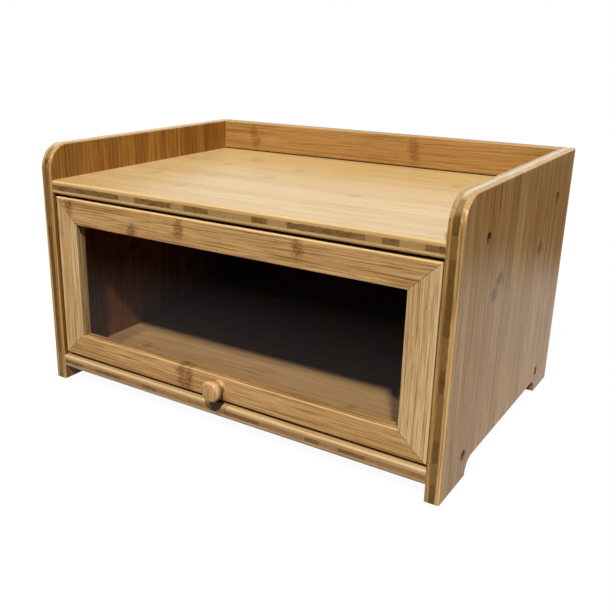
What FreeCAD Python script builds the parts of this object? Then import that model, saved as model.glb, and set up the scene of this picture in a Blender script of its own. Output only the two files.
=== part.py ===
"""Bamboo bread box: a case with a tray top, and a glazed flap that lifts at its front.

Millimetres, +Z up, the front faces -Y. The origin is on the ground, in the middle of the
space that the whole box takes, its knob included. Every board is cut from pressed bamboo,
and the box is built as boards, hardware and a mitred door frame that come apart.
"""
import FreeCAD, Part
import math
import os

V = FreeCAD.Vector

# ---- case: overall sizes ------------------------------------------------------------------
case_width = 400.0
case_depth = 280.0
case_height = 228.0
side_thickness = 12.0
shelf_thickness = 12.0
base_thickness = 12.0
rail_thickness = 13.0
tray_depth = 31.5          # from the shelf's top to the top of the sides
base_clearance = 13.0      # from the ground to the underside of the base
shelf_setback = 1.0        # shelf front behind the front edges of the sides
base_setback = 0.5
edge_easing = 1.5          # round-over on the boards' long edges
shelf_front_easing = 2.0
base_front_easing = 2.5

# ---- side panels: rounded shoulder and the arch between the feet ---------------------------
shoulder_radius = 22.0
front_foot_length = 52.0
rear_foot_length = 42.0
arch_height = 13.0
arch_corner_radius = 12.5

# ---- back panel, let into grooves ----------------------------------------------------------
back_thickness = 5.0
back_inset = 6.0           # from the rear edges of the sides to the panel
groove_depth = 4.0
panel_play = 0.1           # around a panel or pane, in its groove

# ---- door (a flap that turns about two pins near its top) ----------------------------------
door_thickness = 12.0
door_setback = 2.5         # door front behind the front edges of the sides
door_side_gap = 1.5
door_top_gap = 2.5
door_bottom_gap = 3.0
stile_width = 24.0
top_rail_width = 24.0
bottom_rail_width = 22.0
frame_easing = 2.2         # round-over on the frame's outer edges
window_easing = 0.8        # and on its inner edges
pane_thickness = 3.0
pane_setback = 4.5         # from the frame's front to the pane
pane_groove_depth = 5.0
pane_bite = 4.5            # how far the pane reaches into the frame

# ---- pivots --------------------------------------------------------------------------------
pivot_drop = 8.0           # from the door's top edge to the pin's axis
pin_diameter = 5.0
pin_bite = 12.0            # length of pin inside the door
bush_diameter = 8.0
bush_depth = 8.0           # length of bush inside the side panel
bush_flange_diameter = 10.0
bush_flange_thickness = 1.2
pivot_clearance = 0.05     # radial, between the pin and its bush
pin_end_gap = 0.5          # from the pin's end to the bottom of the bush's hole

# ---- stops and magnetic catches ------------------------------------------------------------
stop_width = 22.0
stop_depth = 12.0
stop_height = 15.0
stop_gap = 0.3             # between the shut door and a stop
stop_easing = 0.8
magnet_diameter = 6.0
magnet_thickness = 4.0
magnet_height = 9.5        # magnet's axis above the base
magnet_from_side = 16.0    # magnet's axis from the side panel's inner face
strike_thickness = 1.2
stop_screw_from_side = 6.0
stop_screw_diameter = 3.0
stop_screw_head_diameter = 5.6
stop_screw_head_height = 1.6
stop_screw_length = 22.0

# ---- knob ----------------------------------------------------------------------------------
knob_length = 16.5
knob_radius = 9.5
knob_neck_radius = 4.8
knob_foot_radius = 5.4
knob_face_radius = 6.8
knob_face_rise = 0.6       # of the domed face, from its edge to its middle
knob_screw_bite = 10.0
knob_raise = 2.3           # of the knob's axis above the middle of the bottom rail

# ---- screws and dowels ---------------------------------------------------------------------
screw_diameter = 4.0
screw_length = 38.0
screw_head_diameter = 8.0
screw_head_height = 2.2
screw_sink = 1.2           # from the board's face down to the screw's head
screw_hole_play = 0.2      # radial, around a screw where it passes through
screw_tip = 3.0
recess_share = 0.58        # length of the cross recess, as a share of the head it is cut in
recess_width = 0.9
recess_depth = 1.5
shelf_screw_front = 52.0   # screw rows, from the front edges of the sides
shelf_screw_rear = 235.0
base_screw_front = 44.0
base_screw_rear = 237.0
base_screw_raise = 2.5     # of the base screws' axes above the middle of the base
knob_head_diameter = 7.6
knob_head_height = 2.3
rail_dowel_diameter = 6.0
rail_dowel_length = 20.0
rail_dowel_bite_side = 8.0     # of an end dowel, inside the side panel
rail_dowel_floor = 1.0         # wood between an upright dowel and the back panel's groove
rail_dowel_pitch = 150.0       # between upright dowels
corner_dowel_diameter = 5.0
corner_dowel_length = 14.0
corner_dowel_place = 0.6       # along the mitre, from the frame's outer corner

# ---- places worked out from the sizes ------------------------------------------------------
outer_x = case_width / 2
inner_x = outer_x - side_thickness
knob_reach = knob_length - door_setback
front_y = (knob_reach - case_depth) / 2
rear_y = front_y + case_depth
base_under_z = base_clearance
base_top_z = base_under_z + base_thickness
shelf_top_z = case_height - tray_depth
shelf_under_z = shelf_top_z - shelf_thickness
rail_front_y = rear_y - rail_thickness
back_rear_y = rear_y - back_inset
back_front_y = back_rear_y - back_thickness

door_front_y = front_y + door_setback
door_rear_y = door_front_y + door_thickness
door_mid_y = (door_front_y + door_rear_y) / 2
door_x = inner_x - door_side_gap
door_low_z = base_top_z + door_bottom_gap
door_high_z = shelf_under_z - door_top_gap
window_x = door_x - stile_width
window_low_z = door_low_z + bottom_rail_width
window_high_z = door_high_z - top_rail_width
pane_front_y = door_front_y + pane_setback
pane_rear_y = pane_front_y + pane_thickness
pivot_z = door_high_z - pivot_drop

stop_front_y = door_rear_y + stop_gap
stop_inner_x = inner_x - stop_width
catch_x = inner_x - magnet_from_side
catch_z = base_top_z + magnet_height
stop_top_z = base_top_z + stop_height
stop_screw_top = V(inner_x - stop_screw_from_side, stop_front_y + stop_depth / 2, stop_top_z)
knob_z = door_low_z + bottom_rail_width / 2 + knob_raise

shelf_mid_z = shelf_under_z + shelf_thickness / 2
base_screw_z = base_under_z + base_thickness / 2 + base_screw_raise
shelf_screw_ys = (front_y + shelf_screw_front, front_y + shelf_screw_rear)
base_screw_ys = (front_y + base_screw_front, front_y + base_screw_rear)
rail_mid_y = rail_front_y + rail_thickness / 2
rail_mid_z = shelf_top_z + tray_depth / 2
upright_dowel_xs = (-rail_dowel_pitch, 0.0, rail_dowel_pitch)


# ---- helpers -------------------------------------------------------------------------------
def block(x0, x1, y0, y1, z0, z1):
    """A box between two corners."""
    return Part.makeBox(x1 - x0, y1 - y0, z1 - z0, V(x0, y0, z0))


def rod(start, direction, radius, length):
    """A cylinder from a point, along a direction."""
    return Part.makeCylinder(radius, length, V(*start), V(*direction))


def mirrored(shape):
    """The same piece for the other side of the box."""
    return shape.mirror(V(0, 0, 0), V(1, 0, 0))


def eased(shape, radius, wanted):
    """Round over the edges for which wanted(edge's box) is true."""
    edges = [edge for edge in shape.Edges if wanted(edge.BoundBox)]
    return shape.makeFillet(radius, edges)


def near(a, b):
    return abs(a - b) < 1e-4


def prism_along_x(outline, x0, x1):
    """Extrude a closed outline, drawn in Y and Z at x0, up to x1."""
    face = Part.Face(Part.Wire(outline))
    return face.extrude(V(x1 - x0, 0, 0))


def save(name, *solids):
    """Write one sub-part, one solid or a group of them, as STEP."""
    shape = solids[0] if len(solids) == 1 else Part.makeCompound(list(solids))
    shape.exportStep("parts/" + name + ".step")
    print(name, len(shape.Solids), "solids", round(shape.Volume / 1000, 2), "cm3",
          "valid" if shape.isValid() else "NOT VALID")


# ---- screws --------------------------------------------------------------------------------
def wood_screw(face_point, direction):
    """A countersunk screw that goes in at a board's face, its head below the surface."""
    body_length = screw_length - screw_head_height - screw_tip
    into = V(*direction)
    head_at = V(*face_point) + into * screw_sink
    neck_at = head_at + into * screw_head_height
    tip_at = neck_at + into * body_length
    head = Part.makeCone(screw_head_diameter / 2, screw_diameter / 2, screw_head_height, head_at, into)
    body = Part.makeCylinder(screw_diameter / 2, body_length, neck_at, into)
    tip = Part.makeCone(screw_diameter / 2, screw_diameter / 8, screw_tip, tip_at, into)
    screw = head.fuse([body, tip]).removeSplitter()
    return screw.cut(cross_recess(head_at, into, screw_head_diameter))


def cross_recess(head_at, into, head_diameter):
    """The cross-shaped pocket in a screw's head, recess_depth down from its face."""
    reach, half = recess_share * head_diameter / 2, recess_width / 2
    arms = []
    for wide, high in ((reach, half), (half, reach)):
        arm = block(-wide, wide, -high, high, -recess_depth, recess_depth)
        arm.Placement = FreeCAD.Placement(head_at, FreeCAD.Rotation(V(0, 0, 1), into))
        arms.append(arm)
    return arms[0].fuse(arms[1])


def screw_clearance(face_point, direction):
    """What a board loses where a countersunk screw passes through it."""
    into = V(*direction)
    face = V(*face_point)
    head_at = face + into * screw_sink
    mouth = Part.makeCylinder(screw_head_diameter / 2, screw_sink, face, into)
    seat = Part.makeCone(screw_head_diameter / 2, screw_diameter / 2, screw_head_height, head_at, into)
    hole = Part.makeCylinder(screw_diameter / 2 + screw_hole_play, side_thickness, face, into)
    return mouth.fuse([seat, hole])


def screw_bore(face_point, direction):
    """What the board behind loses to the screw's own thread and tip."""
    into = V(*direction)
    return Part.makeCylinder(screw_diameter / 2, screw_sink + screw_length, V(*face_point), into)


def screw_places(ys, z):
    """Face points on the right side panel's outside, with the direction in."""
    return [((outer_x, y, z), (-1, 0, 0)) for y in ys]


shelf_screw_places = screw_places(shelf_screw_ys, shelf_mid_z)
base_screw_places = screw_places(base_screw_ys, base_screw_z)


def both_sides(shapes):
    return shapes + [mirrored(shape) for shape in shapes]


# ---- side panels ---------------------------------------------------------------------------
def side_outline():
    """Shoulder at the top of the front, and the arch that leaves two feet."""
    def at(y, z):
        return V(inner_x, front_y + y, z)

    def quarter(start, centre, end):
        """An arc between two points a quarter turn apart, about a centre."""
        bisector = (start - centre) + (end - centre)
        middle = centre + bisector * ((start - centre).Length / bisector.Length)
        return Part.Arc(start, middle, end).toShape()

    rear_foot_y = case_depth - rear_foot_length
    low = arch_height - arch_corner_radius
    shoulder_low = at(0, case_height - shoulder_radius)
    shoulder_high = at(shoulder_radius, case_height)
    shoulder_centre = at(shoulder_radius, case_height - shoulder_radius)
    front_low = at(front_foot_length, low)
    front_high = at(front_foot_length + arch_corner_radius, arch_height)
    front_centre = at(front_foot_length + arch_corner_radius, low)
    rear_high = at(rear_foot_y - arch_corner_radius, arch_height)
    rear_low = at(rear_foot_y, low)
    rear_centre = at(rear_foot_y - arch_corner_radius, low)
    return [
        Part.makeLine(at(0, 0), shoulder_low),
        quarter(shoulder_low, shoulder_centre, shoulder_high),
        Part.makeLine(shoulder_high, at(case_depth, case_height)),
        Part.makeLine(at(case_depth, case_height), at(case_depth, 0)),
        Part.makeLine(at(case_depth, 0), at(rear_foot_y, 0)),
        Part.makeLine(at(rear_foot_y, 0), rear_low),
        quarter(rear_low, rear_centre, rear_high),
        Part.makeLine(rear_high, front_high),
        quarter(front_high, front_centre, front_low),
        Part.makeLine(front_low, at(front_foot_length, 0)),
        Part.makeLine(at(front_foot_length, 0), at(0, 0)),
    ]


def right_side_panel():
    panel = prism_along_x(side_outline(), inner_x, outer_x)

    def on_rim(b):
        flat_on_a_face = near(b.XMin, b.XMax)
        on_the_arch_or_ground = b.ZMax < arch_height + 1e-3
        return flat_on_a_face and not on_the_arch_or_ground

    panel = eased(panel, edge_easing, on_rim)
    cuts = [screw_clearance(*place) for place in shelf_screw_places + base_screw_places]
    cuts.append(back_groove_room())
    cuts.append(rod((inner_x, door_mid_y, pivot_z), (1, 0, 0), bush_diameter / 2, bush_depth + pin_end_gap))
    cuts.append(end_dowel())
    return panel.cut(cuts)


# ---- back panel and the room for it in the boards around it --------------------------------
def back_slab(reach, play):
    """The back panel's own shape, reach past the opening's sides and play thicker all round."""
    return block(-inner_x - reach, inner_x + reach, back_front_y - play, back_rear_y + play,
                 base_top_z - reach, shelf_under_z + reach)


def back_panel():
    return back_slab(groove_depth - panel_play, 0.0)


def back_groove_room():
    return back_slab(groove_depth, panel_play)


# ---- shelf, base and back rail -------------------------------------------------------------
def top_shelf():
    shelf_front_y = front_y + shelf_setback
    shelf = block(-inner_x, inner_x, shelf_front_y, rear_y, shelf_under_z, shelf_top_z)
    shelf = eased(shelf, shelf_front_easing,
                  lambda b: near(b.YMax, shelf_front_y) and near(b.ZMin, b.ZMax))
    cuts = both_sides([screw_bore(*place) for place in shelf_screw_places])
    cuts.append(back_groove_room())
    cuts += upright_dowels()
    return shelf.cut(cuts)


def base_board():
    base_front_y = front_y + base_setback
    base = block(-inner_x, inner_x, base_front_y, rear_y, base_under_z, base_top_z)
    base = eased(base, base_front_easing,
                 lambda b: near(b.YMax, base_front_y) and near(b.ZMin, b.ZMax))
    cuts = both_sides([screw_bore(*place) for place in base_screw_places])
    cuts.append(back_groove_room())
    cuts += both_sides([stop_screw_body()])
    return base.cut(cuts)


def back_rail():
    rail = block(-inner_x, inner_x, rail_front_y, rear_y, shelf_top_z, case_height)
    rail = eased(rail, edge_easing, lambda b: near(b.ZMin, case_height) and near(b.YMin, b.YMax))
    return rail.cut(upright_dowels() + both_sides([end_dowel()]))


def end_dowel():
    """The dowel from the right side panel into the back rail's end."""
    start = (inner_x + rail_dowel_bite_side, rail_mid_y, rail_mid_z)
    return rod(start, (-1, 0, 0), rail_dowel_diameter / 2, rail_dowel_length)


def upright_dowels():
    """The dowels that stand in the shelf and hold the back rail."""
    foot_z = shelf_under_z + groove_depth + rail_dowel_floor
    return [rod((x, rail_mid_y, foot_z), (0, 0, 1), rail_dowel_diameter / 2, rail_dowel_length)
            for x in upright_dowel_xs]


# ---- door frame ----------------------------------------------------------------------------
def frame_member(corners, outer_edge, inner_edge):
    """One mitred member: corners in X and Z, with its outer and inner long edges eased."""
    points = [V(x, door_front_y, z) for x, z in corners]
    face = Part.Face(Part.makePolygon(points + points[:1]))
    member = face.extrude(V(0, door_thickness, 0))
    member = eased(member, frame_easing, outer_edge)
    member = eased(member, window_easing, inner_edge)
    cuts = [pane_groove_room()] + corner_dowels() + both_sides([pin_room()])
    return member.cut(cuts)


def along_x_at(z):
    return lambda b: near(b.ZMin, z) and near(b.ZMax, z) and near(b.YMin, b.YMax)


def along_z_at(x):
    return lambda b: near(b.XMin, x) and near(b.XMax, x) and near(b.YMin, b.YMax)


def door_top_rail():
    corners = [(-door_x, door_high_z), (door_x, door_high_z),
               (window_x, window_high_z), (-window_x, window_high_z)]
    return frame_member(corners, along_x_at(door_high_z), along_x_at(window_high_z))


def door_bottom_rail():
    corners = [(-door_x, door_low_z), (door_x, door_low_z),
               (window_x, window_low_z), (-window_x, window_low_z)]
    rail = frame_member(corners, along_x_at(door_low_z), along_x_at(window_low_z))
    return rail.cut([knob_screw_room()] + both_sides([strike()]))


def door_right_stile():
    corners = [(door_x, door_low_z), (door_x, door_high_z),
               (window_x, window_high_z), (window_x, window_low_z)]
    return frame_member(corners, along_z_at(door_x), along_z_at(window_x))


def pane_slab(reach, play):
    """The pane's own shape, reach past the window's edges and play thicker all round."""
    return block(-window_x - reach, window_x + reach, pane_front_y - play, pane_rear_y + play,
                 window_low_z - reach, window_high_z + reach)


def door_pane():
    return pane_slab(pane_bite, 0.0)


def pane_groove_room():
    return pane_slab(pane_groove_depth, panel_play)


def corner_dowels():
    """One dowel square across each of the four mitres, in the middle of the frame."""
    dowels = []
    for outer_z, inner_z in ((door_high_z, window_high_z), (door_low_z, window_low_z)):
        along = V(window_x - door_x, 0, inner_z - outer_z)
        square = V(-along.z, 0, along.x).normalize()
        centre = V(door_x, door_mid_y, outer_z) + along * corner_dowel_place
        start = centre - square * (corner_dowel_length / 2)
        dowels.append(rod(start, square, corner_dowel_diameter / 2, corner_dowel_length))
    return both_sides(dowels)


# ---- pivots --------------------------------------------------------------------------------
def pin_room():
    """Where the right-hand pin sits in the door."""
    return rod((door_x - pin_bite, door_mid_y, pivot_z), (1, 0, 0), pin_diameter / 2, pin_bite)


def right_pivot_pin():
    pin_length = pin_bite + door_side_gap + bush_depth
    pin = rod((door_x - pin_bite, door_mid_y, pivot_z), (1, 0, 0), pin_diameter / 2, pin_length)
    return pin.makeChamfer(pin_diameter / 10, pin.Edges[:1] + pin.Edges[2:])


def right_pivot_bush():
    """A plastic bush in the side panel; its flange keeps the door off the panel."""
    sleeve = rod((inner_x, door_mid_y, pivot_z), (1, 0, 0), bush_diameter / 2, bush_depth)
    flange_x = inner_x - bush_flange_thickness
    flange = rod((flange_x, door_mid_y, pivot_z), (1, 0, 0), bush_flange_diameter / 2, bush_flange_thickness)
    bore_length = bush_depth + bush_flange_thickness
    bore = rod((flange_x, door_mid_y, pivot_z), (1, 0, 0), pin_diameter / 2 + pivot_clearance, bore_length)
    return sleeve.fuse(flange).removeSplitter().cut(bore)


# ---- stops and catches ---------------------------------------------------------------------
def right_stop_block():
    stop = block(stop_inner_x, inner_x, stop_front_y, stop_front_y + stop_depth, base_top_z, stop_top_z)
    stop = eased(stop, stop_easing, lambda b: near(b.ZMin, stop_top_z) or near(b.XMax, stop_inner_x))
    return stop.cut([magnet(), stop_screw_body()])


def stop_screw_body():
    """The right-hand stop's screw, from its flush countersunk head down into the base."""
    radius = stop_screw_diameter / 2
    down = V(0, 0, -1)
    head = Part.makeCone(stop_screw_head_diameter / 2, radius, stop_screw_head_height, stop_screw_top, down)
    shank = Part.makeCylinder(radius, stop_screw_length, stop_screw_top, down)
    return head.fuse(shank).removeSplitter()


def stop_screw():
    return stop_screw_body().cut(cross_recess(stop_screw_top, V(0, 0, -1), stop_screw_head_diameter))


def magnet():
    """The right-hand disc magnet, flush in the front of its stop."""
    return rod((catch_x, stop_front_y, catch_z), (0, 1, 0), magnet_diameter / 2, magnet_thickness)


def strike():
    """The right-hand steel disc, flush in the back of the door."""
    return rod((catch_x, door_rear_y, catch_z), (0, -1, 0), magnet_diameter / 2, strike_thickness)


# ---- knob ----------------------------------------------------------------------------------
def door_knob():
    """Turned knob: a waisted foot that flares to a head with a nearly flat face."""
    def at(radius, out):
        return V(radius, door_front_y - out, knob_z)

    dome_radius = (knob_face_radius ** 2 + knob_face_rise ** 2) / (2 * knob_face_rise)
    half_way = math.asin(knob_face_radius / dome_radius) / 2
    dome_middle = at(dome_radius * math.sin(half_way),
                     knob_length - dome_radius * (1 - math.cos(half_way)))
    foot = at(knob_foot_radius, 0)
    face_edge = at(knob_face_radius, knob_length - knob_face_rise)
    flank = Part.BSplineCurve()
    flank.interpolate([
        foot,
        at(knob_neck_radius, 0.17 * knob_length),
        at((knob_neck_radius + knob_radius) / 2, 0.45 * knob_length),
        at(knob_radius, 0.72 * knob_length),
        at((2 * knob_radius + knob_face_radius) / 3, 0.9 * knob_length),
        face_edge,
    ])
    outline = [
        Part.makeLine(at(0, 0), foot),
        flank.toShape(),
        Part.Arc(face_edge, dome_middle, at(0, knob_length)).toShape(),
        Part.makeLine(at(0, knob_length), at(0, 0)),
    ]
    face = Part.Face(Part.Wire(outline))
    knob = face.revolve(at(0, 0), V(0, 1, 0), 360)
    bore = rod((0, door_front_y, knob_z), (0, -1, 0), screw_diameter / 2, knob_screw_bite)
    return knob.cut(bore)


def knob_screw():
    """A flat-faced machine screw from the back of the rail into the knob."""
    head = rod((0, door_rear_y, knob_z), (0, -1, 0), knob_head_diameter / 2, knob_head_height)
    body_length = door_thickness + knob_screw_bite
    body = rod((0, door_rear_y, knob_z), (0, -1, 0), screw_diameter / 2, body_length)
    screw = head.fuse(body).removeSplitter()
    return screw.cut(cross_recess(V(0, door_rear_y, knob_z), V(0, -1, 0), knob_head_diameter))


def knob_screw_room():
    """What the bottom rail loses to the knob's screw."""
    seat_radius = knob_head_diameter / 2 + screw_hole_play
    hole_radius = screw_diameter / 2 + screw_hole_play
    seat = rod((0, door_rear_y, knob_z), (0, -1, 0), seat_radius, knob_head_height)
    hole = rod((0, door_rear_y, knob_z), (0, -1, 0), hole_radius, door_thickness)
    return seat.fuse(hole)


# ---- write every sub-part ------------------------------------------------------------------
os.makedirs("parts", exist_ok=True)

right_side = right_side_panel()
save("right_side_panel", right_side)
save("left_side_panel", mirrored(right_side))
save("top_shelf", top_shelf())
save("base_board", base_board())
save("back_rail", back_rail())
save("back_panel", back_panel())
save("shelf_screws", *both_sides([wood_screw(*place) for place in shelf_screw_places]))
save("base_screws", *both_sides([wood_screw(*place) for place in base_screw_places]))
save("rail_dowels", *(upright_dowels() + both_sides([end_dowel()])))

save("door_top_rail", door_top_rail())
save("door_bottom_rail", door_bottom_rail())
right_stile = door_right_stile()
save("door_right_stile", right_stile)
save("door_left_stile", mirrored(right_stile))
save("door_pane", door_pane())
save("door_corner_dowels", *corner_dowels())
save("door_knob", door_knob())
save("knob_screw", knob_screw())
save("door_strikes", *both_sides([strike()]))

right_bush = right_pivot_bush()
right_pin = right_pivot_pin()
right_stop = right_stop_block()
save("right_pivot_bush", right_bush)
save("left_pivot_bush", mirrored(right_bush))
save("right_pivot_pin", right_pin)
save("left_pivot_pin", mirrored(right_pin))
save("right_stop_block", right_stop)
save("left_stop_block", mirrored(right_stop))
save("stop_screws", *both_sides([stop_screw()]))
save("catch_magnets", *both_sides([magnet()]))
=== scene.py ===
"""The finish of a bamboo bread box with a glazed flap, its studio and its camera.

Metres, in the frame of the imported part: +X to the right, -Y out of the front, +Z up.
"""

import math

import bmesh
import bpy
from mathutils import Euler, Matrix, Vector


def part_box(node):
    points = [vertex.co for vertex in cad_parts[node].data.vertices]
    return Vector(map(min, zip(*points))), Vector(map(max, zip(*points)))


MM = 0.001


def srgb(red, green, blue):
    """A linear colour, with alpha, from the 0 to 255 values that a paint card gives."""
    channels = [value / 255 for value in (red, green, blue)]
    linear = [c / 12.92 if c <= 0.04045 else ((c + 0.055) / 1.055) ** 2.4 for c in channels]
    return (*linear, 1.0)


# ---- camera ----------------------------------------------------------------------------------
CAMERA_PLACE = (366.95 * MM, -617.74 * MM, 326.98 * MM)
CAMERA_TURN = 34.000               # degrees to the left of straight back
CAMERA_DIP = 18.802                # degrees below level
CAMERA_ROLL = 0.508                # degrees
CAMERA_NEAREST = 0.01
FRAME_SIDE = 616                   # pixels, a square frame
FOCAL_LENGTH = 788.56              # pixels
VIEW_CENTRE = (258.1, 299.1)       # the pixel that the lens axis meets
SENSOR_WIDTH = 36.0                # millimetres

# ---- studio ----------------------------------------------------------------------------------
LAMPS = {                          # towards the lamp, strength, spread in degrees
    "key": ((0.31, -0.60, 0.74), 2.9, 3.0),
    "fill": ((0.04, -0.59, 0.81), 1.2, 3.0),
    "left": ((-1.0, 0.1, 0.0), 1.2, 2.0),      # level, so that it lights no upward face
    "rear": ((0.0, 1.0, 0.0), 1.2, 2.0),       # level as well
}
SKY_BEHIND = 0.30                  # soft light from behind the box
SKY_IN_FRONT = 0.05                # and from in front of it
SKY_TURNS = -0.4, 0.3              # where one becomes the other, as a direction's share along Y
ROOM_TURNS = -0.15, 0.25           # and where the room that gloss mirrors turns white
DARK_ROOM = 0.01                   # what gloss mirrors in front of the box
FLOOR_SIDE = 8.0
FLOOR_GREY = (0.05, 0.05, 0.05, 1.0)
FLOOR_WARM_GREY = (0.05, 0.05, 0.0495, 1.0)
FLOOR_ROUGHNESS = 0.9
PAPER_SCALE = 40.0                 # of the floor's faint mottle
FLOOR_GLOW = 0.95                  # what the floor adds where the camera or gloss sees it
FLOOR_IN_FRONT = 0.20              # share of it that gloss mirrors just in front of the box
FRONT_TURNS = -0.50, -0.24         # where along Y that share comes up from the dark
SIDE_TURNS = -0.24, -0.14          # and where it turns full, beside the box
FLOOR_REACH = 0.48, 0.78           # how far from the middle the mirrored floor goes dark
BLACK = (0.0, 0.0, 0.0, 1.0)
WHITE = (1.0, 1.0, 1.0, 1.0)

# ---- sizes in the bamboo ---------------------------------------------------------------------
BOARD_STRIP = 19.0 * MM            # width of the strips in a board
FRAME_STRIP = 12.0 * MM            # and in the door's frame and knob
CORE_STRIP = 19.0 * MM             # and in a board's middle layer
PLY_CORE = 4.6 * MM                # thickness of a three-ply board's middle layer
THIN_CORE = 3.6 * MM               # and of the base board's
GRAIN_HEIGHT = 0.14 * MM
KNUCKLE_LENGTH = 6.5 * MM          # half the length of a knuckle, along the grain
KNUCKLE_WIDTH = 10.0 * MM          # and half its width
KNUCKLE_RIM = 0.30, 1.25           # where it fades out, as a share of those
KNUCKLE_STRAY = 1.3                # how ragged its rim is
KNUCKLE_STIR = 3.0 * MM            # how far it pushes the fibres aside
SWAY = 1.6 * MM                    # how far the strips' edges wander
GLUE_WIDTH = 0.35 * MM             # of the line between two strips
CORE_GAP_WIDTH = 0.7 * MM          # of the line between two strips of the middle layer
CORE_FRAY = 1.6 * MM               # how far the middle layer's border strays
CORE_EDGE = 0.35 * MM              # and how soft that border is
PLY_GLUE_WIDTH = 0.4 * MM          # of the glue line between two layers
INNER_PLY_EDGE = 0.2 * MM          # how soft the border of a side panel's inner ply is
PAINT_EDGE = 0.15 * MM             # how soft the edge of the inside's darker tone is
HOLE_EDGE = 0.08 * MM              # how soft the colour's edge is around a screw hole
TORN_WIDTH = 3.5 * MM              # of the torn fibres around a screw hole
SEAM_WIDTH = 0.34 * MM             # of the dark joint line on each mitre
FOOT_SHADE_HEIGHT = 2.1 * MM              # of the painted shade at the rail's foot, where it stands on the shelf

# ---- the bamboo's figure ---------------------------------------------------------------------
# Each kind of streak: its length, its width, and how much it is stirred.
BROAD_STREAK = 160.0 * MM, 9.0 * MM, 0.3
BAND_STREAK = 90.0 * MM, 1.5 * MM, 0.12
FIBRE_STREAK = 34.0 * MM, 0.75 * MM, 0.1
FLECK_STREAK = 8.0 * MM, 0.8 * MM, 0.0
STREAK_SHIFT = 3.1                 # how far the streaks move from one strip to the next

# Where in its noise each mark starts and is full, and how strongly it shows.
BODY_FADE = 0.28, 0.70
BAND_FADE = 0.44, 0.72
BAND_SHARE = 0.40
FIBRE_FADE = 0.46, 0.72
FIBRE_SHARE = 0.34
PALE_FIBRE_FADE = 0.42, 0.26
PALE_FIBRE_SHARE = 0.30
FLECK_FADE = 0.66, 0.78
FLECK_SHARE = 0.55
GLUE_SHARE = 0.18
TORN_FADE = 0.47, 0.60
TORN_SHARE = 0.6
HOLE_SHADE_SHARE = 0.7
SEAM_SHARE = 0.75
KNUCKLE_SPOTS = 0.38, 0.60, 0.35, 1.0      # the fade of its dark spots, and its weakest and most

# How fine each noise is, in lumps per metre.
WANDER_SCALE = 6.0                 # of the strips' edges
CLOUD_SCALE = 7.0                  # of the broad change of tone
RAGGED_SCALE = 190.0               # of a knuckle's rim
SWIRL_SCALE = 220.0                # of the fibres that it stirs
SPOT_SCALE = 330.0, 1000.0         # of its dark spots, along and across the grain
TORN_SCALE = 700.0, 260.0          # of the torn fibres, across and along the grain

# Satin lacquer.
LACQUER_ROUGHNESS = 0.40, 0.54
COAT_ROUGHNESS = 0.24
LACQUER_SPECULAR = 0.05

# ---- a three-ply board's edges ---------------------------------------------------------------
FRAY_SCALE = 160.0                 # of the middle layer's border
UNEVEN_SCALE = 21.0                # of the widths of its strips
UNEVEN_STRIPS = 2.2                # how many strips these widths drift over
CORE_DOT_SCALE = 420.0, 60.0, 500.0        # of its pores: along, across and through the board
CORE_FLECK_SCALE = 110.0, 260.0    # of its paler flecks: along and through
CORE_MARK = 0.25                   # how strongly its pores, strips and gaps show
CORE_GRAIN_SCALE = 28.0, 900.0     # of its strips' long grain, where the board is cut across
LONG_GRAIN_SHARE = 0.85
FACE_END_SHARE = 0.15              # how much the face layers pale there
PLY_GLUE_SHARE = 0.35
INNER_PLY_SHARE = 0.35             # how much of the inner ply's painted shade its edge takes

# ---- colours of the bamboo -------------------------------------------------------------------
# Each board's strips: pale, tan and the dark brown of their fibres.
FRAME_TONES = srgb(220, 176, 117), srgb(193, 145, 86), srgb(106, 64, 22)
STILE_TONES = srgb(230, 194, 142), srgb(208, 168, 114), srgb(120, 78, 32)
SHELF_TONES = srgb(229, 195, 137), srgb(214, 177, 115), srgb(146, 102, 50)
BASE_TONES = srgb(206, 172, 124), srgb(188, 154, 105), srgb(116, 76, 36)
SIDE_TONES = srgb(235, 187, 119), srgb(197, 143, 78), srgb(112, 66, 28)
RAIL_TONES = srgb(186, 143, 84), srgb(170, 125, 68), srgb(108, 64, 24)
KNOB_TONES = srgb(216, 174, 114), srgb(194, 148, 90), srgb(138, 90, 44)
BACK_TONES = srgb(196, 156, 98), srgb(176, 134, 80), srgb(112, 72, 32)

# A three-ply board's middle layer on its edges: a light and a dark strip.
SIDE_CORE = srgb(135, 100, 53), srgb(99, 67, 31)
SHELF_CORE = srgb(182, 144, 92), srgb(104, 71, 36)
BASE_CORE = srgb(160, 120, 74), srgb(106, 70, 34)

# What a board's colour is multiplied by: on its edges, and, as painted shade, inside the bread
# compartment.
SIDE_EDGE = srgb(232, 236, 234)
SHELF_EDGE = srgb(252, 247, 242)
BASE_EDGE = srgb(246, 242, 238)
SIDE_INSIDE_SHADE = srgb(206, 190, 170)
SHELF_INSIDE_SHADE = srgb(150, 122, 96)
BASE_INSIDE_SHADE = srgb(246, 236, 230)
BACK_INSIDE_SHADE = srgb(92, 60, 58)
INNER_PLY_SHADE = srgb(197, 180, 130)      # and on the side panels' inner ply, above and below the shelf: a deeper painted shade

LONG_GRAIN = srgb(206, 170, 122), srgb(240, 216, 182)      # of the core, on an edge cut across
RIM_HIGHLIGHT = srgb(232, 202, 148)     # painted highlight along the rounded edges
# dark brown of the mitres' joint lines, and of the painted shade at the back rail's foot
SEAM_AND_SHADE_BROWN = srgb(50, 26, 10)
CORE_GAP_BROWN = srgb(66, 42, 18)
PLY_GLUE_BROWN = srgb(96, 64, 30)
TORN_BROWN = srgb(84, 50, 26)
# painted shade in the screw holes, over their bare drilled wood
HOLE_SHADE_BROWN = srgb(72, 44, 24)

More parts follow.
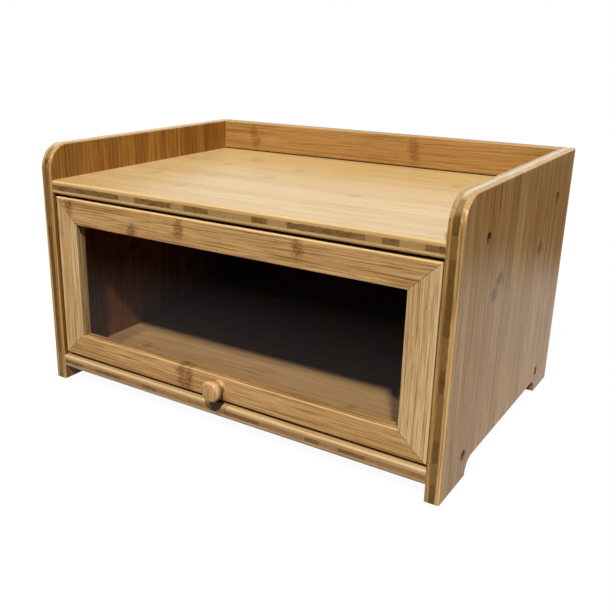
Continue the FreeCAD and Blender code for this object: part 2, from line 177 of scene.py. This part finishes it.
# ---- the other finishes' colours -------------------------------------------------------------
STEEL_TONES = srgb(96, 88, 76), srgb(58, 48, 38)           # bare, and under grime
NICKEL_TONES = srgb(176, 174, 170), srgb(200, 199, 196)
NYLON_TONES = srgb(26, 24, 22), srgb(40, 37, 33)
PANE_TINT = srgb(250, 249, 247)
PANE_SHADOW_TINT = srgb(240, 239, 237)     # of the lamps' light that passes through it
PANE_ROUGHNESS = 0.02, 0.07        # clean, and where it was wiped
ACRYLIC_IOR = 1.45


# ---- node wiring -----------------------------------------------------------------------------
class Finish:
    """A material whose shader nodes are wired by short calls. Values may be sockets or numbers."""

    def __init__(self, name):
        self.material = bpy.data.materials.new(name)
        self.material.use_nodes = True
        self.begin(self.material.node_tree, "ShaderNodeOutputMaterial", "Object")

    @classmethod
    def on(cls, tree, output, coordinates):
        """Wire a tree that isn't a material's."""
        made = cls.__new__(cls)
        made.begin(tree, output, coordinates)
        return made

    def begin(self, tree, output, coordinates):
        self.tree = tree
        self.tree.nodes.clear()
        self.output = self.tree.nodes.new(output)
        source = self.node("ShaderNodeTexCoord")
        self.place = source.outputs[coordinates]
        self.axis = self.split(self.place)
        self.facing = self.split(source.outputs["Normal"])

    def split(self, vector):
        """A vector's three shares, by axis."""
        made = self.node("ShaderNodeSeparateXYZ")
        self.join(vector, made.inputs[0])
        return dict(zip("XYZ", made.outputs))

    def node(self, kind, **settings):
        made = self.tree.nodes.new(kind)
        for key, value in settings.items():
            setattr(made, key, value)
        return made

    def join(self, value, socket):
        """Link a socket, or write a plain value."""
        if isinstance(value, bpy.types.NodeSocket):
            self.tree.links.new(value, socket)
        else:
            socket.default_value = value

    def math(self, operation, *values, clamp=False):
        made = self.node("ShaderNodeMath", operation=operation, use_clamp=clamp)
        for value, socket in zip(values, made.inputs):
            self.join(value, socket)
        return made.outputs[0]

    def add(self, a, b):
        return self.math("ADD", a, b)

    def times(self, a, b):
        return self.math("MULTIPLY", a, b)

    def over(self, a, b):
        return self.math("DIVIDE", a, b)

    def size(self, a):
        """A value without its sign."""
        return self.math("ABSOLUTE", a)

    def rest(self, share):
        """What a share leaves of 1."""
        return self.math("SUBTRACT", 1.0, share)

    def steps(self, value):
        """The whole number below a value, and how far the value is from the middle of its step."""
        off_middle = self.size(self.add(self.math("FRACT", value), -0.5))
        return self.math("FLOOR", value), off_middle

    def either(self, *values):
        """The largest of the values."""
        largest = values[0]
        for value in values[1:]:
            largest = self.math("MAXIMUM", largest, value)
        return largest

    def fade(self, value, start, end, low=0.0, high=1.0):
        """A smooth step from low at start to high at end."""
        made = self.node("ShaderNodeMapRange", interpolation_type="SMOOTHSTEP")
        for given, socket in zip((value, start, end, low, high), made.inputs):
            self.join(given, socket)
        return made.outputs[0]

    def vector(self, x, y, z):
        made = self.node("ShaderNodeCombineXYZ")
        for value, socket in zip((x, y, z), made.inputs):
            self.join(value, socket)
        return made.outputs[0]

    def distance(self, x, y):
        """How far a point is from the middle, from its two shares."""
        made = self.node("ShaderNodeVectorMath", operation="LENGTH")
        self.join(self.vector(x, y, 0.0), made.inputs[0])
        return made.outputs["Value"]

    def noise(self, vector, scale=1.0, detail=2.0, roughness=0.5, distortion=0.0):
        made = self.node("ShaderNodeTexNoise")
        self.join(vector, made.inputs["Vector"])
        made.inputs["Scale"].default_value = scale
        made.inputs["Detail"].default_value = detail
        made.inputs["Roughness"].default_value = roughness
        made.inputs["Distortion"].default_value = distortion
        return made.outputs["Fac"]

    def chance(self, number, seed=0.0):
        """A random value from 0 to 1 that holds for each whole number."""
        made = self.node("ShaderNodeTexWhiteNoise", noise_dimensions="1D")
        self.join(self.add(number, seed), made.inputs["W"])
        return made.outputs["Value"]

    def blend(self, share, a, b, way="MIX"):
        """Mix two colours."""
        made = self.node("ShaderNodeMix", data_type="RGBA", blend_type=way, clamp_factor=True)
        self.join(share, made.inputs[0])
        self.join(a, made.inputs[6])
        self.join(b, made.inputs[7])
        return made.outputs[2]

    def tinted(self, colour, tint):
        """A colour multiplied by another."""
        return self.blend(1.0, colour, tint, "MULTIPLY")

    def bump(self, height, distance, strength=1.0):
        made = self.node("ShaderNodeBump")
        made.inputs["Strength"].default_value = strength
        made.inputs["Distance"].default_value = distance
        self.join(height, made.inputs["Height"])
        return made.outputs[0]

    def surface(self, colour, roughness, normal=None, **plain):
        """The finished surface. plain holds settings that are the same all over."""
        shader = self.node("ShaderNodeBsdfPrincipled")
        self.join(colour, shader.inputs["Base Color"])
        self.join(roughness, shader.inputs["Roughness"])
        if normal is not None:
            self.join(normal, shader.inputs["Normal"])
        for key, value in plain.items():
            shader.inputs[key].default_value = value
        self.join(shader.outputs[0], self.output.inputs["Surface"])
        return self.material

    def finished(self):
        """The shader that the output shows now."""
        return self.output.inputs["Surface"].links[0].from_socket


# ---- bamboo ----------------------------------------------------------------------------------
def knuckle_share(f, along, side, places, seed):
    """How much of a knuckle, the ring where the cane had a joint, is at each point.

    places gives each knuckle's middle, along and across the grain.
    """
    if not places:
        return 0.0
    ragged = f.noise(f.vector(f.times(along, RAGGED_SCALE), f.times(side, RAGGED_SCALE), seed))
    shares = []
    for along_place, side_place in places:
        away = f.distance(f.times(f.add(along, -along_place), 1 / KNUCKLE_LENGTH),
                          f.times(f.add(side, -side_place), 1 / KNUCKLE_WIDTH))
        away = f.add(away, f.times(f.add(ragged, -0.5), KNUCKLE_STRAY))
        shares.append(f.fade(away, *KNUCKLE_RIM, 1.0, 0.0))
    return f.either(*shares)


def screw_holes(f, nodes):
    """Shares of a side panel's screw-hole mouths, in painted shade, and of the torn fibres around
    them.
    """
    mouths = []
    rings = []
    for node in nodes:
        low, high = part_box(node)
        radius = (high.z - low.z) / 2
        for row in (low.y + radius, high.y - radius):
            away = f.distance(f.add(f.axis["Y"], -row), f.add(f.axis["Z"], -(low.z + radius)))
            mouths.append(f.fade(away, radius + HOLE_EDGE, radius + 3 * HOLE_EDGE, 1.0, 0.0))
            rings.append(f.fade(away, radius, radius + TORN_WIDTH, 1.0, 0.0))
    across, up = TORN_SCALE
    torn_place = f.vector(0.0, f.times(f.axis["Y"], across), f.times(f.axis["Z"], up))
    torn = f.fade(f.noise(torn_place), *TORN_FADE)
    return f.either(*mouths), f.times(f.either(*rings), torn)


def rim_share(f):
    """1 on a board's rounded edges, 0 on its flat faces."""
    most = f.either(*(f.size(part) for part in f.facing.values()))
    return f.fade(most, 0.84, 0.96, 1.0, 0.0)


def inside_shade_share(f):
    """1 on the walls of the bread compartment, behind the door, but not on its back's outside:
    where the painted shade goes.
    """
    _, base_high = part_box("base_board")
    shelf_low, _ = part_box("top_shelf")
    side_low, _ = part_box("right_side_panel")
    _, door_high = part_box("door_right_stile")
    share = f.fade(f.size(f.axis["X"]), side_low.x, side_low.x + PAINT_EDGE, 1.0, 0.0)
    share = f.times(share, f.fade(f.facing["Y"], 0.3, 0.7, 1.0, 0.0))
    for axis, start, end in (("Z", base_high.z - PAINT_EDGE, base_high.z),
                             ("Z", shelf_low.z + PAINT_EDGE, shelf_low.z),
                             ("Y", door_high.y - PAINT_EDGE, door_high.y)):
        share = f.times(share, f.fade(f.axis[axis], start, end))
    return share


def bamboo(name, grain, across, deep, tones, strip_width, seed, plies=None, knuckles=(),
           knuckle_depth=0.5, grain_depth=1.0, seam_or_shade=None, gloss=0.35, screws=(), rim_highlight_depth=0.35,
           inside=None):
    """Bamboo strips glued side by side under satin lacquer.

    grain, across and deep name the board's axes. tones are the pale, tan and dark brown of its
    strips. plies, from board_plies, colours the layers that show on a three-ply board's edges.
    seam_or_shade gives the share of dark line: joint lines on the mitres, painted shade at the
    back rail's foot. screws names the nodes whose holes pass through.
    inside is what the colour is multiplied by in the bread compartment, a painted shade. The
    depths say how strongly the knuckles, the grain and the painted highlight on the rims show.
    """
    pale, tan, brown = tones
    f = Finish(name)
    along, side, depth = f.axis[grain], f.axis[across], f.axis[deep]

    wander = f.noise(f.vector(f.times(along, WANDER_SCALE), seed, 0.0), detail=1.0)
    sway = f.times(f.add(wander, -0.5), SWAY)
    strip_at = f.add(f.over(f.add(side, sway), strip_width), seed * 0.37)
    strip, off_strip = f.steps(strip_at)
    tone = f.chance(strip, seed)
    glue_line = f.fade(off_strip, 0.5 - GLUE_WIDTH / strip_width, 0.5)
    knuckle = knuckle_share(f, along, side, knuckles, seed)

    swirl_place = f.vector(f.times(along, SWIRL_SCALE), f.times(side, SWIRL_SCALE), seed)
    swirl = f.noise(swirl_place, detail=1.0)
    moved = f.add(side, f.times(knuckle, f.times(f.add(swirl, -0.5), KNUCKLE_STIR)))

    def streaks(streak, detail, shift):
        """Noise drawn out along the grain, and moved by shift through the board."""
        length, width, stir = streak
        place = f.vector(f.add(f.over(along, length), f.times(strip, STREAK_SHIFT)),
                         f.over(moved, width),
                         f.add(f.over(depth, width), shift))
        return f.noise(place, detail=detail, distortion=stir)

    broad = streaks(BROAD_STREAK, 2.0, seed)
    bands = streaks(BAND_STREAK, 3.0, seed + 5)
    fibres = streaks(FIBRE_STREAK, 2.0, seed + 9)
    flecks = streaks(FLECK_STREAK, 1.0, seed + 13)
    cloud = f.noise(f.place, scale=CLOUD_SCALE)
    spot_along, spot_across = SPOT_SCALE
    spots_place = f.vector(f.times(along, spot_along), f.times(side, spot_across), seed)
    spots = f.fade(f.noise(spots_place, detail=1.0), *KNUCKLE_SPOTS)

    mixed = f.add(f.add(f.times(tone, 0.20), f.times(broad, 0.50)), f.times(cloud, 0.30))
    colour = f.blend(f.fade(mixed, *BODY_FADE), tan, pale)
    for share, strength, tint in (
            (f.fade(bands, *BAND_FADE), BAND_SHARE * grain_depth, brown),
            (f.fade(fibres, *FIBRE_FADE), FIBRE_SHARE * grain_depth, brown),
            (f.fade(fibres, *PALE_FIBRE_FADE), PALE_FIBRE_SHARE * grain_depth, pale),
            (f.fade(flecks, *FLECK_FADE), FLECK_SHARE, brown),
            (f.times(knuckle, spots), knuckle_depth, brown),
            (glue_line, GLUE_SHARE * grain_depth, brown)):
        colour = f.blend(f.times(share, strength), colour, tint)

    if plies is not None:
        colour = layered(f, colour, grain, along, side, depth, plies, seed)
    # joint lines on the mitres, painted shade where the back rail stands on the shelf
    if seam_or_shade is not None:
        colour = f.blend(seam_or_shade(f), colour, SEAM_AND_SHADE_BROWN)
    rim = rim_share(f)
    if screws:
        mouths, torn = screw_holes(f, screws)
        rim = f.times(rim, f.rest(mouths))
        colour = f.blend(f.times(torn, TORN_SHARE), colour, TORN_BROWN)
        # painted shade in the screw holes, over their bare drilled wood
        colour = f.blend(f.times(mouths, HOLE_SHADE_SHARE), colour, HOLE_SHADE_BROWN)
    # painted highlight along the rounded edges, kept off the screw holes
    colour = f.blend(f.times(rim, rim_highlight_depth), colour, RIM_HIGHLIGHT)
    # painted shade on the walls inside the bread compartment
    if inside is not None:
        colour = f.blend(inside_shade_share(f), colour, f.tinted(colour, inside))

    height = f.add(f.times(fibres, 0.5), f.times(bands, 0.5))
    height = f.add(height, f.times(glue_line, -0.5))
    roughness = f.fade(f.add(cloud, f.times(bands, 0.3)), 0.3, 0.9, *LACQUER_ROUGHNESS)
    lacquer = {"Coat Weight": gloss, "Coat Roughness": COAT_ROUGHNESS,
               "Specular IOR Level": LACQUER_SPECULAR}
    return f.surface(colour, roughness, f.bump(height, GRAIN_HEIGHT, 0.5), **lacquer)


def layered(f, colour, grain, along, side, depth, plies, seed):
    """The three layers of a pressed board: two faces and a middle whose strips lie crosswise.

    They show end on along the grain, and as a plain band on the edges across it. plies comes from
    board_plies. A side panel's also says which way its inner face looks.
    """
    off_middle = f.add(depth, -plies["middle"])
    if "towards" in plies:
        inner_ply = f.fade(f.times(off_middle, plies["towards"]), 0.0, INNER_PLY_EDGE)
        inwards = f.times(f.facing["X"], plies["towards"])
        flat = f.fade(inwards, 0.8, 0.95, INNER_PLY_SHARE, 1.0)
        # painted shade on the inner ply: full on the inner face, partly on its edges
        colour = f.blend(f.times(inner_ply, flat), colour, f.tinted(colour, INNER_PLY_SHADE))
    on_edge = f.fade(f.size(f.facing[plies["deep"]]), 0.3, 0.7, 1.0, 0.0)
    colour = f.blend(on_edge, colour, f.tinted(colour, plies["edge"]))

    fray = f.noise(f.vector(f.times(along, FRAY_SCALE), seed, 0.0))
    core_edge = f.add(f.size(off_middle), f.times(f.add(fray, -0.5), CORE_FRAY))
    half = plies["core"] / 2
    in_core = f.fade(core_edge, half - CORE_EDGE, half + CORE_EDGE, 1.0, 0.0)
    glue = f.fade(f.size(f.add(core_edge, -half)), 0.0, PLY_GLUE_WIDTH, PLY_GLUE_SHARE, 0.0)

    uneven = f.noise(f.vector(f.times(along, UNEVEN_SCALE), seed, 0.0), detail=1.0)
    shift = f.times(uneven, UNEVEN_STRIPS)
    strip_at = f.add(f.over(along, CORE_STRIP), f.add(shift, seed * 0.61))
    strip, off_strip = f.steps(strip_at)
    tone = f.chance(strip, seed + 3.3)
    dark_strips = f.fade(tone, 1.0 - plies["dark_share"], 1.1 - plies["dark_share"])
    gap = f.fade(off_strip, 0.5 - CORE_GAP_WIDTH / CORE_STRIP, 0.5)
    dots_place = f.vector(*(f.times(way, scale)
                            for way, scale in zip((along, side, depth), CORE_DOT_SCALE)))
    dots = f.noise(dots_place, detail=1.0)
    fleck_along, fleck_deep = CORE_FLECK_SCALE
    flecks = f.noise(f.vector(f.times(along, fleck_along), seed, f.times(depth, fleck_deep)))

    light, dark = plies["tones"]
    core = f.blend(f.times(dark_strips, f.fade(flecks, 0.25, 0.6, 1.0, 0.55)), light, dark)
    core = f.blend(f.times(f.fade(dots, 0.40, 0.7), CORE_MARK), core, dark)
    core = f.blend(f.times(tone, CORE_MARK), core, dark)
    core = f.blend(f.times(gap, CORE_MARK), core, CORE_GAP_BROWN)

    crosswise = f.fade(f.size(f.facing[grain]), 0.80, 0.98)
    grain_along, grain_deep = CORE_GRAIN_SCALE
    lengths = f.noise(f.vector(f.times(side, grain_along), f.times(depth, grain_deep), seed))
    long_grain = f.blend(f.fade(lengths, 0.35, 0.65), *LONG_GRAIN)
    core = f.blend(f.times(crosswise, LONG_GRAIN_SHARE), core, long_grain)
    colour = f.blend(f.times(crosswise, FACE_END_SHARE), colour, LONG_GRAIN[1])
    return f.blend(glue, f.blend(in_core, colour, core), PLY_GLUE_BROWN)


def board_plies(node, axis, dark_share, edge, tones, core=PLY_CORE):
    """What layered needs: where the layers lie, and their colours.

    dark_share is how many of the middle layer's strips are dark, and edge is what the colour of
    the board's edges is multiplied by.
    """
    low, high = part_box(node)
    number = "XYZ".index(axis)
    return {"middle": (low[number] + high[number]) / 2, "deep": axis, "tones": tones,
            "dark_share": dark_share, "core": core, "edge": edge}


def side_plies(node, towards, dark_share):
    """A side panel's layers. towards is the direction of its inner face along X."""
    plies = board_plies(node, "X", dark_share, SIDE_EDGE, SIDE_CORE)
    plies["towards"] = towards
    return plies


def mitre_seam(f):
    """The share of dark joint line on the door frame's four mitres."""
    right_low, right_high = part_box("door_right_stile")
    top_low, top_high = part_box("door_top_rail")
    bottom_low, bottom_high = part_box("door_bottom_rail")
    x = f.size(f.axis["X"])
    z = f.axis["Z"]
    halfway = (top_low.z + bottom_high.z) / 2
    seams = []
    for outer_z, inner_z in ((top_high.z, top_low.z), (bottom_low.z, bottom_high.z)):
        run = Vector((right_low.x - right_high.x, inner_z - outer_z)).normalized()
        across = f.add(f.times(f.add(x, -right_high.x), -run.y),
                       f.times(f.add(z, -outer_z), run.x))
        line = f.fade(f.size(across), 0.0, SEAM_WIDTH, SEAM_SHARE, 0.0)
        same_end = f.math("GREATER_THAN", f.times(f.add(z, -halfway), outer_z - halfway), 0.0)
        seams.append(f.times(line, same_end))
    return f.either(*seams)


def rail_foot_shade(f):
    """The share of painted shade at the foot of the back rail, where it stands on the shelf."""
    low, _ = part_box("back_rail")
    return f.fade(f.axis["Z"], low.z + 0.3 * FOOT_SHADE_HEIGHT, low.z + FOOT_SHADE_HEIGHT, 1.0, 0.0)


def frame_rail(name, seed, knuckles):
    """A top or bottom rail of the door's frame."""
    return bamboo(name, "X", "Z", "Y", FRAME_TONES, FRAME_STRIP, seed, knuckles=knuckles,
                  seam_or_shade=mitre_seam, knuckle_depth=0.85, grain_depth=1.8, rim_highlight_depth=0.7)


def frame_stile(name, seed):
    """An upright of the door's frame."""
    return bamboo(name, "Z", "X", "Y", STILE_TONES, FRAME_STRIP, seed, seam_or_shade=mitre_seam,
                  grain_depth=1.8, rim_highlight_depth=0.7)


# ---- the other finishes ----------------------------------------------------------------------
def screw_steel():
    """Dull zinc-plated steel with grime in its hollows."""
    f = Finish("screw_steel")
    grime = f.noise(f.place, scale=420.0, detail=3.0)
    colour = f.blend(f.fade(grime, 0.35, 0.7), *STEEL_TONES)
    scratches = f.noise(f.place, scale=2600.0)
    return f.surface(colour, f.fade(grime, 0.3, 0.7, 0.32, 0.55),
                     f.bump(scratches, 0.03 * MM, 0.4), Metallic=0.85)


def magnet_nickel():
    """Bright nickel plate, lightly scratched."""
    f = Finish("magnet_nickel")
    scratches = f.noise(f.place, scale=1500.0)
    colour = f.blend(scratches, *NICKEL_TONES)
    return f.surface(colour, 0.22, f.bump(scratches, 0.01 * MM, 0.3), Metallic=1.0)


def bush_nylon():
    """Matt black nylon."""
    f = Finish("bush_nylon")
    mottle = f.noise(f.place, scale=900.0, detail=3.0)
    colour = f.blend(mottle, *NYLON_TONES)
    return f.surface(colour, f.fade(mottle, 0.3, 0.7, 0.42, 0.6), f.bump(mottle, 0.02 * MM, 0.4))


def clear_acrylic():
    """A clear pane with faint wipe marks. Lamps and scattered light pass through it unbent."""
    f = Finish("clear_acrylic")
    wipes = f.vector(f.times(f.axis["X"], 14.0), 0.0, f.times(f.axis["Z"], 40.0))
    smears = f.noise(wipes, detail=4.0)
    f.surface(PANE_TINT, f.fade(smears, 0.4, 0.7, *PANE_ROUGHNESS),
              **{"IOR": ACRYLIC_IOR, "Transmission Weight": 1.0})
    clear = f.node("ShaderNodeBsdfTransparent")
    clear.inputs[0].default_value = PANE_SHADOW_TINT
    path = f.node("ShaderNodeLightPath")
    for ray in ("Is Shadow Ray", "Is Diffuse Ray"):
        chosen = f.node("ShaderNodeMixShader")
        f.join(path.outputs[ray], chosen.inputs[0])
        f.join(f.finished(), chosen.inputs[1])
        f.join(clear.outputs[0], chosen.inputs[2])
        f.join(chosen.outputs[0], f.output.inputs["Surface"])
    return f.material


# ---- dressing the parts ----------------------------------------------------------------------
SCREW_ROWS = "shelf_screws", "base_screws"


def side_panel(name, node, towards, dark_share, seed, knuckle_depth, knuckles):
    """A side panel's bamboo, with its screw holes."""
    return bamboo(name, "Z", "Y", "X", SIDE_TONES, BOARD_STRIP, seed,
                  plies=side_plies(node, towards, dark_share), knuckle_depth=knuckle_depth,
                  grain_depth=1.7, screws=SCREW_ROWS, rim_highlight_depth=0.2, inside=SIDE_INSIDE_SHADE,
                  knuckles=knuckles)


def dress():
    """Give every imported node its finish. A knuckle's place is along the grain, then across it."""
    steel, nickel, nylon = screw_steel(), magnet_nickel(), bush_nylon()
    block = bamboo("stop_bamboo", "X", "Y", "Z", BASE_TONES, BOARD_STRIP, 17.0)
    dowel = bamboo("dowel_wood", "X", "Y", "Z", FRAME_TONES, BOARD_STRIP, 9.0)
    finishes = {
        "right_side_panel": side_panel(
            "right_side_bamboo", "right_side_panel", -1.0, 0.65, 2.0, 1.0,
            [(0.142, -0.054), (0.151, -0.045), (0.152, 0.063)]),
        "left_side_panel": side_panel(
            "left_side_bamboo", "left_side_panel", 1.0, 0.75, 11.0, 0.95,
            [(0.164, -0.088), (0.112, -0.026), (0.071, 0.064), (0.176, 0.038), (0.046, -0.072)]),
        "top_shelf": bamboo(
            "shelf_bamboo", "X", "Y", "Z", SHELF_TONES, BOARD_STRIP, 4.0,
            plies=board_plies("top_shelf", "Z", 0.60, SHELF_EDGE, SHELF_CORE),
            knuckle_depth=0.42, grain_depth=0.8, gloss=0.7, inside=SHELF_INSIDE_SHADE,
            knuckles=[(-0.142, -0.041), (-0.080, -0.080), (-0.115, 0.040), (-0.107, 0.079),
                      (-0.038, -0.001), (-0.034, 0.048), (0.068, -0.031), (0.122, 0.062)]),
        "base_board": bamboo(
            "base_bamboo", "X", "Y", "Z", BASE_TONES, BOARD_STRIP, 6.0,
            plies=board_plies("base_board", "Z", 0.50, BASE_EDGE, BASE_CORE, core=THIN_CORE),
            knuckle_depth=0.5, grain_depth=0.9, inside=BASE_INSIDE_SHADE,
            knuckles=[(-0.139, -0.066), (0.094, -0.073), (-0.121, 0.041), (0.038, 0.066)]),
        "back_rail": bamboo(
            "rail_bamboo", "X", "Z", "Y", RAIL_TONES, BOARD_STRIP, 7.0, seam_or_shade=rail_foot_shade,
            knuckle_depth=0.65, grain_depth=1.2,
            knuckles=[(-0.148, 0.216), (-0.144, 0.208), (0.047, 0.217), (0.049, 0.207)]),
        "back_panel": bamboo(
            "back_bamboo", "Z", "X", "Y", BACK_TONES, BOARD_STRIP, 8.0, gloss=0.0,
            inside=BACK_INSIDE_SHADE,
            knuckles=[(0.062, -0.122), (0.118, -0.034), (0.093, 0.104), (0.148, 0.161),
                      (0.044, 0.042)]),
        "door_top_rail": frame_rail(
            "door_top_bamboo", 12.0,
            [(-0.094, 0.161), (-0.042, 0.172), (0.073, 0.173), (-0.170, 0.174)]),
        "door_bottom_rail": frame_rail(
            "door_bottom_bamboo", 13.0,
            [(-0.042, 0.045), (-0.034, 0.042), (-0.041, 0.034), (-0.035, 0.033)]),
        "door_left_stile": frame_stile("door_left_bamboo", 14.0),
        "door_right_stile": frame_stile("door_right_bamboo", 15.0),
        "door_knob": bamboo("knob_bamboo", "Z", "X", "Y", KNOB_TONES, FRAME_STRIP, 16.0,
                            grain_depth=2.0),
        "door_pane": clear_acrylic(),
    }
    for material, nodes in (
            (block, ("left_stop_block", "right_stop_block")),
            (dowel, ("rail_dowels", "door_corner_dowels")),
            (steel, ("shelf_screws", "base_screws", "knob_screw", "stop_screws", "door_strikes",
                     "left_pivot_pin", "right_pivot_pin")),
            (nickel, ("catch_magnets",)),
            (nylon, ("left_pivot_bush", "right_pivot_bush"))):
        finishes.update(dict.fromkeys(nodes, material))
    for node, material in finishes.items():
        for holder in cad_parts[node].material_slots:
            holder.material = material


# ---- studio ----------------------------------------------------------------------------------
def ray_kinds(f):
    """Shares of camera rays, of rays that saw a gloss, and of rays that came through the pane.

    A ray that goes through the pane counts as glossy as well, so its transmission is taken off.
    Rays that a matt surface has scattered are none of these, so they light the box softly.
    """
    path = f.node("ShaderNodeLightPath")
    unscattered = f.math("LESS_THAN", path.outputs["Diffuse Depth"], 0.5)
    last = f.math("SUBTRACT", path.outputs["Is Glossy Ray"], path.outputs["Is Transmission Ray"])
    gloss = f.either(last, f.math("GREATER_THAN", path.outputs["Glossy Depth"], 0.5))
    mirrored = f.times(gloss, unscattered)
    through = f.times(f.times(path.outputs["Is Transmission Ray"], unscattered), f.rest(gloss))
    return path.outputs["Is Camera Ray"], mirrored, through


def studio_floor():
    """A pale floor that looks white, keeps the box's shadow and throws little light back."""
    mesh = bpy.data.meshes.new("studio_floor")
    work = bmesh.new()
    bmesh.ops.create_grid(work, x_segments=1, y_segments=1, size=FLOOR_SIDE / 2)
    work.to_mesh(mesh)
    work.free()
    floor = bpy.data.objects.new("studio_floor", mesh)
    bpy.context.collection.objects.link(floor)

    f = Finish("studio_floor")
    seen_straight, mirrored, through = ray_kinds(f)
    paper = f.noise(f.place, scale=PAPER_SCALE)
    grey = f.blend(mirrored, f.blend(paper, FLOOR_GREY, FLOOR_WARM_GREY), BLACK)
    f.surface(grey, FLOOR_ROUGHNESS, **{"Specular IOR Level": 0.0})
    glow = f.node("ShaderNodeEmission")
    beside = f.fade(f.axis["Y"], *SIDE_TURNS, DARK_ROOM, 1.0)
    in_front = f.fade(f.axis["Y"], *FRONT_TURNS, DARK_ROOM, FLOOR_IN_FRONT)
    around = f.fade(f.distance(f.axis["X"], f.axis["Y"]), *FLOOR_REACH, 1.0, DARK_ROOM)
    near_box = f.times(around, f.either(beside, in_front))
    seen = f.either(seen_straight, through, f.times(mirrored, near_box))
    f.join(f.times(seen, FLOOR_GLOW), glow.inputs["Strength"])
    both = f.node("ShaderNodeAddShader")
    f.join(f.finished(), both.inputs[0])
    f.join(glow.outputs[0], both.inputs[1])
    f.join(both.outputs[0], f.output.inputs["Surface"])
    mesh.materials.append(f.material)


def sky():
    """White behind the box, a darker room in front of it, and a low even light on it."""
    world = bpy.data.worlds.new("studio")
    bpy.context.scene.world = world
    world.use_nodes = True
    f = Finish.on(world.node_tree, "ShaderNodeOutputWorld", "Generated")
    seen_straight, mirrored, through = ray_kinds(f)
    room = f.fade(f.axis["Y"], *ROOM_TURNS, DARK_ROOM, 1.0)
    soft = f.fade(f.axis["Y"], *SKY_TURNS, SKY_IN_FRONT, SKY_BEHIND)
    strength = f.either(seen_straight, through, f.times(mirrored, room),
                        f.times(f.rest(mirrored), soft))
    background = f.node("ShaderNodeBackground")
    background.inputs["Color"].default_value = WHITE
    f.join(strength, background.inputs["Strength"])
    f.join(background.outputs[0], f.output.inputs["Surface"])


def lamp(name, towards, strength, spread):
    """A far lamp that shines from the given direction."""
    data = bpy.data.lights.new(name, "SUN")
    data.energy = strength
    data.angle = math.radians(spread)
    holder = bpy.data.objects.new(name, data)
    holder.rotation_euler = Vector(towards).to_track_quat("Z", "Y").to_euler()
    bpy.context.collection.objects.link(holder)


def camera():
    """The camera, whose lens axis meets the frame off its centre."""
    data = bpy.data.cameras.new("camera")
    data.sensor_width = SENSOR_WIDTH
    data.lens = FOCAL_LENGTH / FRAME_SIDE * SENSOR_WIDTH
    data.shift_x = (FRAME_SIDE / 2 - VIEW_CENTRE[0]) / FRAME_SIDE
    data.shift_y = (VIEW_CENTRE[1] - FRAME_SIDE / 2) / FRAME_SIDE
    data.clip_start = CAMERA_NEAREST
    holder = bpy.data.objects.new("camera", data)
    aim = Euler((math.radians(90 - CAMERA_DIP), 0.0, math.radians(CAMERA_TURN))).to_matrix()
    roll = Matrix.Rotation(math.radians(CAMERA_ROLL), 3, "Z")
    holder.matrix_world = Matrix.Translation(CAMERA_PLACE) @ (aim @ roll).to_4x4()
    bpy.context.collection.objects.link(holder)
    bpy.context.scene.camera = holder


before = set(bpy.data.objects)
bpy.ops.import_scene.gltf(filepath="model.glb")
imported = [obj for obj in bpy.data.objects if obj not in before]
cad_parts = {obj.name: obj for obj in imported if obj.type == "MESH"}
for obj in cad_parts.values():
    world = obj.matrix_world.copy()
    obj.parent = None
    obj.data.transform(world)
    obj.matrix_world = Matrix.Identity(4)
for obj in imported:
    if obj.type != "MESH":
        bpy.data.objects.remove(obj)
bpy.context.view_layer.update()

camera()
dress()
studio_floor()
sky()
for name, settings in LAMPS.items():
    lamp(name, *settings)
bpy.context.scene.view_settings.view_transform = "Standard"
